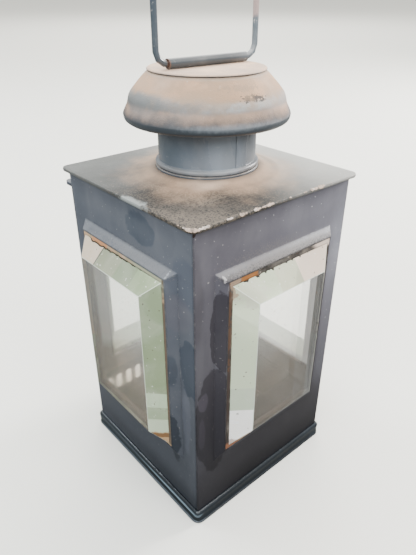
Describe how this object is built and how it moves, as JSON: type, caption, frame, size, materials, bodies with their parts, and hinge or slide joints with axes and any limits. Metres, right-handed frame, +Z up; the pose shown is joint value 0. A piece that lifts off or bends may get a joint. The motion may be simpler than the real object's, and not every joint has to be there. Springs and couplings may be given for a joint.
{
  "type": "candle lantern",
  "caption": "Square sheet-metal candle lantern with thick bevelled panes, a hinged vented door, a spun chimney cap and a swinging wire handle.",
  "frame": {"origin": "bottom centre of the lantern, on the surface it stands on", "axes": "+Z up; -Y is the front wall, +Y the door; +X is the hinge side of the door"},
  "size_m": [0.148, 0.1491, 0.3645],
  "materials": {
    "body_paint": "weathered satin",
    "lid_paint": "dusty matt",
    "cap_paint": "dusty matt",
    "inner_tin": "dull, rust stained",
    "bevelled_glass": "polished, faint green",
    "putty": "old crumbling putty",
    "bare_steel": "worn",
    "dark_wire": "worn satin"
  },
  "bodies": {
    "lantern": {"base_pan": "body_paint", "wall_left": "body_paint", "wall_front": "body_paint", "wall_right": "body_paint", "door_surround": "body_paint", "rain_ledge": "body_paint", "hinge_leaf_lower": "body_paint", "hinge_leaf_upper": "body_paint", "hinge_pin_lower": "bare_steel", "hinge_pin_upper": "bare_steel", "button_rivet": "bare_steel", "glass_left": "bevelled_glass", "glass_front": "bevelled_glass", "glass_right": "bevelled_glass", "putty_left": "putty", "putty_front": "putty", "putty_right": "putty", "clamp_left": "inner_tin", "clamp_front": "inner_tin", "clamp_right": "inner_tin", "lid": "lid_paint", "neck_ring": "body_paint", "collar": "body_paint", "cap_shell": "cap_paint", "cap_disc": "cap_paint", "cap_strap_1": "inner_tin", "cap_strap_2": "inner_tin", "cap_strap_3": "inner_tin", "handle_sleeve": "dark_wire", "candle_dish": "inner_tin", "candle_socket": "inner_tin"},
    "door": {"door_panel": "body_paint", "glass_door": "bevelled_glass", "putty_door": "putty", "clamp_door": "inner_tin"},
    "latch": {"turn_button": "bare_steel"},
    "handle": {"handle_bail": "dark_wire"}
  },
  "joints": [
    {"name": "door_hinge", "type": "hinge", "parent": "lantern", "child": "door", "pos_m": [0.0526, 0.0624, 0.105], "axis": [0, 0, -1], "range_deg": [0, 110]},
    {"name": "latch_turn", "type": "hinge", "parent": "lantern", "child": "latch", "pos_m": [-0.055, 0.0632, 0.105], "axis": [0, -1, 0], "range_deg": [0, 90]},
    {"name": "handle_swing", "type": "hinge", "parent": "lantern", "child": "handle", "pos_m": [0.0024, 0.0016, 0.2728], "axis": [0.9983, -0.0576, 0], "range_deg": [-94, 94]}
  ]
}
